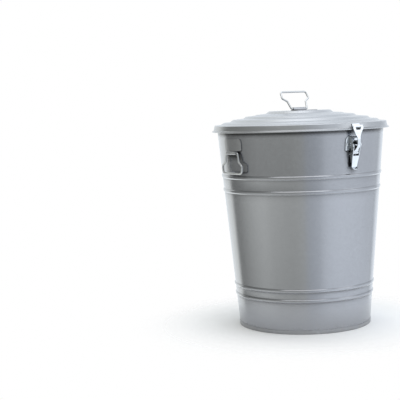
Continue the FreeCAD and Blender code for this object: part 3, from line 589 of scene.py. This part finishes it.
# %% [markdown]
# ## The zinc coat
#
# Molten zinc freezes on sheet as flat crystals a few millimetres across, and satin dipping leaves
# them barely visible, under slow clouds of lighter and darker grey. A Voronoi texture gives each
# crystal its own even tone, a large noise gives the clouds, and a fine noise gives the grain that
# roughens the surface. The group hands out a colour, a roughness and a height, all of them small
# departures, because a coat with strong spots would look like camouflage from across a room.

# %% Node group for the zinc coat
zinc_coat, entry, leave = new_group(
    "zinc_coat",
    [
        ("Vector", VECTOR, None),
        ("Pale", COLOUR, (0.4, 0.4, 0.42, 1)),
        ("Deep", COLOUR, (0.3, 0.3, 0.32, 1)),
        ("Clouds", FLOAT, 0.6),
        ("Crystals", FLOAT, 0.25),
        ("Crystal Size", FLOAT, 0.006),
        ("Smooth", FLOAT, 0.36),
        ("Rough", FLOAT, 0.46),
    ],
    [("Colour", COLOUR), ("Roughness", FLOAT), ("Height", FLOAT)],
)
clouds = node(zinc_coat, "ShaderNodeTexNoise", (-640, 240), Scale=9.0, Detail=3.0, Roughness=0.55)
grain = node(zinc_coat, "ShaderNodeTexNoise", (-640, -320), Scale=1400.0, Detail=2.0)
per_metre = node(zinc_coat, "ShaderNodeMath", (-800, -80), operation="DIVIDE")
per_metre.inputs[0].default_value = 1.0
crystals = node(zinc_coat, "ShaderNodeTexVoronoi", (-640, -40))
tone = node(zinc_coat, "ShaderNodeSeparateColor", (-460, -40))
cloud_share = node(zinc_coat, "ShaderNodeMath", (-260, 240), operation="MULTIPLY")
crystal_share = node(zinc_coat, "ShaderNodeMath", (-80, 60), operation="MULTIPLY_ADD")
blend_tone = node(zinc_coat, "ShaderNodeMix", (160, 200), data_type="RGBA", clamp_factor=True)
spread = node(zinc_coat, "ShaderNodeMapRange", (160, -40))
wire(zinc_coat, entry, "Vector", clouds, "Vector")
wire(zinc_coat, entry, "Vector", grain, "Vector")
wire(zinc_coat, entry, "Vector", crystals, "Vector")
wire(zinc_coat, entry, "Crystal Size", per_metre, 1)
wire(zinc_coat, per_metre, 0, crystals, "Scale")
wire(zinc_coat, crystals, "Color", tone, 0)
wire(zinc_coat, clouds, 0, cloud_share, 0)
wire(zinc_coat, entry, "Clouds", cloud_share, 1)
wire(zinc_coat, tone, 0, crystal_share, 0)
wire(zinc_coat, entry, "Crystals", crystal_share, 1)
wire(zinc_coat, cloud_share, 0, crystal_share, 2)
wire(zinc_coat, crystal_share, 0, blend_tone, 0)
wire(zinc_coat, entry, "Deep", blend_tone, COLOUR_A)
wire(zinc_coat, entry, "Pale", blend_tone, COLOUR_B)
wire(zinc_coat, crystal_share, 0, spread, 0)
wire(zinc_coat, entry, "Smooth", spread, "To Min")
wire(zinc_coat, entry, "Rough", spread, "To Max")
wire(zinc_coat, blend_tone, COLOUR_OUT, leave, "Colour")
wire(zinc_coat, spread, 0, leave, "Roughness")
wire(zinc_coat, grain, 0, leave, "Height")
print("zinc_coat:", len(zinc_coat.nodes), "nodes")

# %% [markdown]
# ## Rubbed edges
#
# Hands and knocks polish whatever stands out: the crests of the beads, the hem and the
# corners of the pressings. Cycles' pointiness is high on such convex edges, and a noise breaks the
# mask up so that it does not outline the piece like a pen. Painting the edges by hand would also
# work, but it would have to be redone after every change of shape.

# %% Node group for rubbed edges
rubbed_edge, entry, leave = new_group(
    "rubbed_edge",
    [("Vector", VECTOR, None), ("From", FLOAT, 0.51), ("To", FLOAT, 0.56), ("Patch Size", FLOAT, 60.0)],
    [("Mask", FLOAT)],
)
shape = node(rubbed_edge, "ShaderNodeNewGeometry", (-640, 120))
sharpness = node(rubbed_edge, "ShaderNodeMapRange", (-400, 120), interpolation_type="SMOOTHSTEP")
patches = node(rubbed_edge, "ShaderNodeTexNoise", (-640, -160), Detail=4.0)
patch_range = node(rubbed_edge, "ShaderNodeMapRange", (-400, -160), From_Min=0.3, From_Max=0.6, To_Min=0.35)
both = node(rubbed_edge, "ShaderNodeMath", (-140, 0), operation="MULTIPLY", use_clamp=True)
wire(rubbed_edge, shape, "Pointiness", sharpness, 0)
wire(rubbed_edge, entry, "From", sharpness, 1)
wire(rubbed_edge, entry, "To", sharpness, 2)
wire(rubbed_edge, entry, "Vector", patches, "Vector")
wire(rubbed_edge, entry, "Patch Size", patches, "Scale")
wire(rubbed_edge, patches, 0, patch_range, 0)
wire(rubbed_edge, sharpness, 0, both, 0)
wire(rubbed_edge, patch_range, 0, both, 1)
wire(rubbed_edge, both, 0, leave, "Mask")
print("rubbed_edge:", len(rubbed_edge.nodes), "nodes")

# %% [markdown]
# ## Settled dust
#
# A bin that has been handled keeps a little dust near the floor and on its level faces. The group
# reads the height above the floor and how far a face looks upwards, and a noise makes both uneven. Its
# mask is used thinly: it dulls the metal rather than colouring it.

# %% Node group for settled dust
settled_dust, entry, leave = new_group(
    "settled_dust",
    [("Vector", VECTOR, None), ("Floor Band", FLOAT, 0.03), ("Level Faces", FLOAT, 0.3)],
    [("Mask", FLOAT)],
)
position = node(settled_dust, "ShaderNodeSeparateXYZ", (-640, 160))
low_down = node(settled_dust, "ShaderNodeMapRange", (-420, 160), From_Min=0.0, To_Min=1.0, To_Max=0.0)
low_down.interpolation_type = "SMOOTHSTEP"
facing = node(settled_dust, "ShaderNodeNewGeometry", (-840, -120))
facing_up = node(settled_dust, "ShaderNodeSeparateXYZ", (-640, -120))
level = node(settled_dust, "ShaderNodeMapRange", (-420, -120), From_Min=0.86, From_Max=1.0)
level_share = node(settled_dust, "ShaderNodeMath", (-220, -120), operation="MULTIPLY")
uneven = node(settled_dust, "ShaderNodeTexNoise", (-420, -400), Scale=22.0, Detail=5.0, Roughness=0.6)
total = node(settled_dust, "ShaderNodeMath", (0, 60), operation="MAXIMUM")
result = node(settled_dust, "ShaderNodeMath", (220, 0), operation="MULTIPLY", use_clamp=True)
wire(settled_dust, entry, "Vector", position, 0)
wire(settled_dust, position, "Z", low_down, 0)
wire(settled_dust, entry, "Floor Band", low_down, 2)
wire(settled_dust, facing, "Normal", facing_up, 0)
wire(settled_dust, facing_up, "Z", level, 0)
wire(settled_dust, level, 0, level_share, 0)
wire(settled_dust, entry, "Level Faces", level_share, 1)
wire(settled_dust, entry, "Vector", uneven, "Vector")
wire(settled_dust, low_down, 0, total, 0)
wire(settled_dust, level_share, 0, total, 1)
wire(settled_dust, total, 0, result, 0)
wire(settled_dust, uneven, 0, result, 1)
wire(settled_dust, result, 0, leave, "Mask")
print("settled_dust:", len(settled_dust.nodes), "nodes")

# %% [markdown]
# ## Painted shade in the crevices
#
# Light from above reaches less far under the hem, behind the bracket and between the latch's
# plates, and this group paints that shade into the colour. Cycles' ambient occlusion says how closed
# in a point is within a short distance, so it finds these places by itself and lets go of them when
# the lid is lifted. It looks along a direction tilted upwards, so that a roof over the place counts and
# the floor below it does not. A height mask could draw the line under the hem, but it would stay on
# the open rim as well.

# %% Node group for painted crevice shade
# How far upwards the painted shade looks for a roof over each point.
SHADE_TILT_UP = 0.8
crevice_painted_shade, entry, leave = new_group(
    "crevice_painted_shade",
    [("Reach", FLOAT, 0.018), ("Open", FLOAT, 0.90), ("Closed", FLOAT, 0.46)],
    [("Mask", FLOAT)],
)
outward = node(crevice_painted_shade, "ShaderNodeNewGeometry", (-900, -100))
tilted = node(crevice_painted_shade, "ShaderNodeVectorMath", (-720, -100), operation="ADD")
tilted.inputs[1].default_value = (0, 0, SHADE_TILT_UP)
upturned = node(crevice_painted_shade, "ShaderNodeVectorMath", (-560, -100), operation="NORMALIZE")
openness = node(crevice_painted_shade, "ShaderNodeAmbientOcclusion", (-400, 100), samples=8)
closed_in = node(crevice_painted_shade, "ShaderNodeMapRange", (-120, 100), interpolation_type="SMOOTHSTEP")
wire(crevice_painted_shade, entry, "Reach", openness, "Distance")
wire(crevice_painted_shade, outward, "Normal", tilted, 0)
wire(crevice_painted_shade, tilted, 0, upturned, 0)
wire(crevice_painted_shade, upturned, 0, openness, "Normal")
wire(crevice_painted_shade, openness, "AO", closed_in, 0)
wire(crevice_painted_shade, entry, "Open", closed_in, 1)
wire(crevice_painted_shade, entry, "Closed", closed_in, 2)
wire(crevice_painted_shade, closed_in, 0, leave, "Mask")
print("crevice_painted_shade:", len(crevice_painted_shade.nodes), "nodes")

# %% [markdown]
# ## The finishes
#
# One function puts the four groups in front of a Principled shader, and each finish gives it its own
# numbers: the wall is a satin mid grey, the lid is the same sheet a little paler and duller, the foot
# strip is dustier, the pressed leaves are close to the wall, the wire is paler, and the latch is bright
# plated zinc with a cooler tone. Writing six separate trees would allow more freedom, but then a change
# to the coat would have to be made six times.


# %% The finishes
WORN = (0.62, 0.63, 0.66, 1)
DUST = (0.36, 0.35, 0.34, 1)
# Painted shade: the dark colour mixed in where crevices and overhangs are closed in.
PAINTED_SHADE = (0.05, 0.05, 0.052, 1)


CLOUDS = 0.5
CRYSTALS = 0.25
WEAR = 0.35
POLISH = 0.75
DUST_ROUGHNESS = 0.8
GRAIN_STRENGTH = 0.02
GRAIN_DEPTH = 0.0005


def share_of(tree, group, strength, place):
    """A group's mask times how strongly the finish shows it."""
    scaled = node(tree, "ShaderNodeMath", place, operation="MULTIPLY")
    scaled.inputs[1].default_value = strength
    wire(tree, group, "Mask", scaled, 0)
    return scaled


def colour_over(tree, mask, source, outlet, colour, place):
    """A constant colour mixed over another node's colour by a mask."""
    mixed = node(tree, "ShaderNodeMix", place, data_type="RGBA")
    mixed.inputs[COLOUR_B].default_value = colour
    wire(tree, mask, 0, mixed, 0)
    wire(tree, source, outlet, mixed, COLOUR_A)
    return mixed


def number_over(tree, mask, source, outlet, number, place):
    """A constant number mixed over another node's number by a mask."""
    mixed = node(tree, "ShaderNodeMix", place)
    mixed.inputs[NUMBER_B].default_value = number
    wire(tree, mask, 0, mixed, 0)
    wire(tree, source, outlet, mixed, NUMBER_A)
    return mixed


def metal(name, pale, deep, smoothest, roughest, dust=0.25, painted_shade=0.85):
    """A galvanized finish: coat, rubbed edges, dust and painted shade before one Principled shader."""
    material = bpy.data.materials.new(name)
    material.use_nodes = True
    tree = material.node_tree
    tree.nodes.clear()
    where = node(tree, "ShaderNodeTexCoord", (-1400, 0))
    coat = place_group(tree, zinc_coat, (-1100, 240))
    coat.inputs["Pale"].default_value = (*pale, 1)
    coat.inputs["Deep"].default_value = (*deep, 1)
    coat.inputs["Clouds"].default_value = CLOUDS
    coat.inputs["Crystals"].default_value = CRYSTALS
    coat.inputs["Smooth"].default_value = smoothest
    coat.inputs["Rough"].default_value = roughest
    edges = place_group(tree, rubbed_edge, (-1100, -160))
    settled = place_group(tree, settled_dust, (-1100, -420))
    crevice_shade = place_group(tree, crevice_painted_shade, (-1100, -640))
    for group in (coat, edges, settled):
        wire(tree, where, "Object", group, "Vector")
    worn = share_of(tree, edges, WEAR, (-860, -160))
    dusty = share_of(tree, settled, dust, (-860, -420))
    # Painted shade: crevices and the wall under the hem are darkened by occlusion.
    shade_share = share_of(tree, crevice_shade, painted_shade, (-860, -640))
    polished = colour_over(tree, worn, coat, "Colour", WORN, (-640, 260))
    dusted = colour_over(tree, dusty, polished, COLOUR_OUT, DUST, (-420, 260))
    shaded_colour = colour_over(tree, shade_share, dusted, COLOUR_OUT, PAINTED_SHADE, (-260, 260))
    rubbed = number_over(tree, worn, coat, "Roughness", smoothest * POLISH, (-640, 0))
    dulled = number_over(tree, dusty, rubbed, 0, DUST_ROUGHNESS, (-420, 0))
    bump = node(tree, "ShaderNodeBump", (-420, -300), Strength=GRAIN_STRENGTH, Distance=GRAIN_DEPTH)
    shader = node(tree, "ShaderNodeBsdfPrincipled", (-120, 100), Metallic=1.0)
    out = node(tree, "ShaderNodeOutputMaterial", (200, 100))
    wire(tree, coat, "Height", bump, "Height")
    wire(tree, shaded_colour, COLOUR_OUT, shader, "Base Color")
    wire(tree, dulled, 0, shader, "Roughness")
    wire(tree, bump, 0, shader, "Normal")
    wire(tree, shader, 0, out, 0)
    return material


# The last number of each finish is how strongly painted shade darkens its crevices.
WALL_FINISH = metal("satin_zinc_wall", (0.43, 0.44, 0.47), (0.38, 0.388, 0.415), 0.20, 0.27, painted_shade=0.95)
LID_FINISH = metal("satin_zinc_lid", (0.47, 0.48, 0.50), (0.42, 0.43, 0.45), 0.30, 0.37)
FOOT_FINISH = metal("folded_foot", (0.46, 0.47, 0.49), (0.40, 0.405, 0.425), 0.26, 0.36, dust=0.4, painted_shade=0.3)
LEAF_FINISH = metal("pressed_leaf", (0.45, 0.455, 0.475), (0.40, 0.405, 0.425), 0.22, 0.30, painted_shade=0.3)
WIRE_FINISH = metal("drawn_wire", (0.62, 0.63, 0.64), (0.54, 0.55, 0.56), 0.18, 0.28, painted_shade=0.12)
LATCH_FINISH = metal("bright_plate", (0.80, 0.83, 0.87), (0.70, 0.74, 0.79), 0.06, 0.14, painted_shade=0.45)
print("finishes:", len(bpy.data.materials))

# %% [markdown]
# ## Hand the pieces over
#
# Each visible piece now gets its finish, stands for its CAD node, and rides on that node's body so
# that every joint moves it.


# %% Finish, replace and ride
def fit(piece, finish, body, slot, *nodes):
    """Give a piece its finish and tie it to its CAD nodes and body."""
    piece.data.materials.clear()
    piece.data.materials.append(finish)
    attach(piece, body)
    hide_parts(*nodes)


fit(body, WALL_FINISH, "can", "can_sheet", "body_shell")
fit(pan, WALL_FINISH, "can", "can_sheet", "bottom_pan")
fit(foot, FOOT_FINISH, "can", "foot_strip", "foot_ring")
fit(lid, LID_FINISH, "lid", "lid_sheet", "lid_shell")
fit(lid_bracket, LEAF_FINISH, "lid", "bracket_sheet", "lid_handle_bracket")
fit(lid_wire, WIRE_FINISH, "lid_handle", "handle_wire", "lid_handle")
for side in ("left", "right"):
    fit(side_brackets[side], LEAF_FINISH, "can", "bracket_sheet", f"{side}_handle_bracket")
    fit(side_handles[side], WIRE_FINISH, f"{side}_handle", "handle_wire", f"{side}_handle")
for side, parts in latches.items():
    fit(parts["base"], LATCH_FINISH, "can", "latch_zinc", f"{side}_latch_base")
    fit(parts["rivets"], LATCH_FINISH, "can", "latch_zinc", f"{side}_latch_rivets")
    fit(parts["pivot"], LATCH_FINISH, "can", "latch_zinc", f"{side}_latch_pivot_pin")
    fit(parts["lever"], LATCH_FINISH, f"{side}_lever", "latch_zinc", f"{side}_latch_lever")
    fit(parts["link_pin"], LATCH_FINISH, f"{side}_lever", "latch_zinc", f"{side}_latch_link_pin")
    fit(parts["link"], LATCH_FINISH, f"{side}_link", "latch_zinc", f"{side}_latch_link")
    fit(parts["keeper"], LATCH_FINISH, "lid", "latch_zinc", f"{side}_latch_keeper")

# %% [markdown]
# ## The floor
#
# The can stands on a plain pale floor that carries its soft shadow and fades out within half a metre, so
# no horizon line crosses the picture. A cyclorama could be modelled instead, but the wall leans outwards
# and mirrors the floor, so a small floor leaves what the metal shows to the surroundings below.

# %% Floor
FLOOR_SOLID = 0.17
FLOOR_GONE = 0.44
FLOOR_RADIUS = 1.0
FLOOR_SIDES = 96
deselect_all()
bpy.ops.mesh.primitive_circle_add(
    vertices=FLOOR_SIDES, radius=FLOOR_RADIUS, fill_type="NGON", location=(0, 0, 0)
)
floor = start_piece("studio_floor")
floor_paint = bpy.data.materials.new("floor_paint")
floor_paint.use_nodes = True
ground = floor_paint.node_tree
paint = ground.nodes["Principled BSDF"]
paint.inputs["Base Color"].default_value = (0.93, 0.93, 0.93, 1)
paint.inputs["Roughness"].default_value = 0.9
paint.inputs["Specular IOR Level"].default_value = 0.2
spot = node(ground, "ShaderNodeTexCoord", (-800, -200))
away = node(ground, "ShaderNodeVectorMath", (-600, -200), operation="LENGTH")
fade = node(ground, "ShaderNodeMapRange", (-400, -200), From_Min=FLOOR_SOLID, From_Max=FLOOR_GONE)
fade.interpolation_type = "SMOOTHSTEP"
clear = node(ground, "ShaderNodeBsdfTransparent", (0, -200))
fading = node(ground, "ShaderNodeMixShader", (250, 0))
wire(ground, spot, "Object", away, 0)
wire(ground, away, "Value", fade, 0)
wire(ground, fade, 0, fading, 0)
wire(ground, paint, 0, fading, 1)
wire(ground, clear, 0, fading, 2)
wire(ground, fading, 0, ground.nodes["Material Output"], 0)
floor.data.materials.append(floor_paint)

# %% [markdown]
# ## The camera
#
# The camera stands to the can's front left, a little above the lid, and looks past it, so that the can
# stands to the right of the middle. Its place and its turns were fitted to points measured in the photo.
# A shifted lens fits those points about as well, but a turned camera needs no extra setting.

# %% Camera
CAMERA_PLACE = Vector((-1.589, -2.092, 0.547))
LOOK_PAST = math.radians(5.47)
LOOK_DOWN = math.radians(5.17)
TILT = math.radians(-2.03)
LENS = 96
SENSOR_WIDTH = 36
camera_data = bpy.data.cameras.new("camera")
camera_data.lens = LENS
camera_data.sensor_width = SENSOR_WIDTH
camera = bpy.data.objects.new("camera", camera_data)
bpy.context.scene.collection.objects.link(camera)
heading = math.atan2(CAMERA_PLACE.x, -CAMERA_PLACE.y) + LOOK_PAST
aim = Matrix.Rotation(heading, 4, "Z") @ Matrix.Rotation(math.pi / 2 - LOOK_DOWN, 4, "X")
camera.matrix_world = Matrix.Translation(CAMERA_PLACE) @ aim @ Matrix.Rotation(TILT, 4, "Z")
bpy.context.scene.camera = camera
print("camera heading:", round(math.degrees(heading), 2))

# %% [markdown]
# ## The surroundings
#
# Satin metal shows its surroundings more than its own colour, so the room is drawn as a ring: a white
# backdrop behind the can that ends in a clear edge, a dim side to the left of the camera and a wide
# pale wall to the right. Every stop has one level for what lies below the can's horizon, which is what
# the leaning wall mirrors, and one for the room above it. The levels were set to suit one photo. An
# image of a studio would do the same, but a ramp can be read and changed. The camera itself sees plain
# white.

# %% World
# Each stop: its position round the ring, the level of the room and the level of the ground.
SURROUND = [
    (0.000, 0.54, 0.78),
    (0.060, 0.44, 0.72),
    (0.150, 0.43, 0.86),
    (0.185, 0.43, 1.02),
    (0.215, 0.41, 1.00),
    (0.270, 0.36, 0.92),
    (0.330, 0.29, 0.72),
    (0.362, 0.24, 0.50),
    (0.374, 1.25, 1.60),
    (0.500, 1.22, 1.40),
    (0.612, 1.25, 1.60),
    (0.624, 0.70, 0.85),
    (0.650, 0.95, 1.20),
    (0.740, 1.00, 1.30),
    (0.860, 1.00, 1.28),
    (0.918, 0.92, 1.15),
    (0.940, 0.66, 0.92),
    (1.000, 0.54, 0.78),
]
LEFT_TINT = (1.0, 1.02, 0.97)
RIGHT_TINT = (0.94, 1.0, 1.06)
ROOM = 1
GROUND = 2
ONLY_GROUND_BELOW = -0.28
ONLY_ROOM_ABOVE = -0.20
world = bpy.data.worlds.new("studio")
bpy.context.scene.world = world
world.use_nodes = True
room = world.node_tree
room.nodes.clear()


def ring(column, place):
    """A colour ramp round the can from one column of the surroundings, warm at the left."""
    ramp = node(room, "ShaderNodeValToRGB", place)
    stops = ramp.color_ramp.elements
    for index, stop in enumerate(SURROUND):
        position, level = stop[0], stop[column]
        made = stops[index] if index < 2 else stops.new(position)
        made.position = position
        tint = LEFT_TINT if position < 0.5 else RIGHT_TINT
        made.color = [level * part for part in tint] + [1]
    return ramp


toward = node(room, "ShaderNodeTexCoord", (-1200, 0))
turned = node(room, "ShaderNodeMapping", (-1000, 0), vector_type="POINT")
turned.inputs["Rotation"].default_value = (0, 0, -heading)
direction = node(room, "ShaderNodeSeparateXYZ", (-800, 0))
round_angle = node(room, "ShaderNodeMath", (-600, 100), operation="ARCTAN2")
share = node(room, "ShaderNodeMapRange", (-420, 100), From_Min=-math.pi, From_Max=math.pi)
above = node(room, "ShaderNodeMapRange", (-420, -200))
above.inputs["From Min"].default_value = ONLY_GROUND_BELOW
above.inputs["From Max"].default_value = ONLY_ROOM_ABOVE
upper_ring = ring(ROOM, (-220, 200))
lower_ring = ring(GROUND, (-220, -100))
surface = node(room, "ShaderNodeMix", (60, 100), data_type="RGBA")
lit = node(room, "ShaderNodeBackground", (260, 0), Strength=1.0)
seen = node(room, "ShaderNodeBackground", (260, -200), Color=(1, 1, 1, 1), Strength=1.0)
ray = node(room, "ShaderNodeLightPath", (260, 300))
choose = node(room, "ShaderNodeMixShader", (500, 0))
world_out = node(room, "ShaderNodeOutputWorld", (700, 0))
wire(room, toward, "Generated", turned, "Vector")
wire(room, turned, 0, direction, 0)
wire(room, direction, "X", round_angle, 0)
wire(room, direction, "Y", round_angle, 1)
wire(room, direction, "Z", above, 0)
wire(room, round_angle, 0, share, 0)
wire(room, share, 0, upper_ring, 0)
wire(room, share, 0, lower_ring, 0)
wire(room, above, 0, surface, 0)
wire(room, lower_ring, 0, surface, COLOUR_A)
wire(room, upper_ring, 0, surface, COLOUR_B)
wire(room, surface, COLOUR_OUT, lit, "Color")
wire(room, ray, "Is Camera Ray", choose, 0)
wire(room, lit, 0, choose, 1)
wire(room, seen, 0, choose, 2)
wire(room, choose, 0, world_out, 0)

# %% [markdown]
# ## The lamps
#
# A broad lamp overhead lights the lid and gives the floor its soft shadow, and a weak one to the right
# lifts that side of the wall. More lamps could stand for the room, but satin metal would show each one
# as a patch of its own, and the ring already does that work. The view transform is Standard.


# %% Lamps
LAMP_TARGET = (0, 0, 0.3)


def lamp(name, place, aim_at, width, height, watts):
    """A soft rectangular lamp that points at a place."""
    data = bpy.data.lights.new(name, "AREA")
    data.shape = "RECTANGLE"
    data.size = width
    data.size_y = height
    data.energy = watts
    light = bpy.data.objects.new(name, data)
    light.location = place
    light.rotation_mode = "QUATERNION"
    light.rotation_quaternion = (Vector(aim_at) - Vector(place)).to_track_quat("-Z", "Y")
    bpy.context.scene.collection.objects.link(light)


def beside_camera(degrees, distance, height):
    """A place round the can, in degrees to the right of the camera's direction."""
    angle = math.atan2(CAMERA_PLACE.y, CAMERA_PLACE.x) + math.radians(degrees)
    return Vector((math.cos(angle) * distance, math.sin(angle) * distance, height))


lamp("overhead", (-0.35, -0.45, 2.4), LAMP_TARGET, width=2.6, height=2.6, watts=27)
beside_right = beside_camera(degrees=75, distance=2.2, height=1.1)
lamp("right_wall", beside_right, LAMP_TARGET, width=1.4, height=1.6, watts=4)
bpy.context.scene.view_settings.view_transform = "Standard"
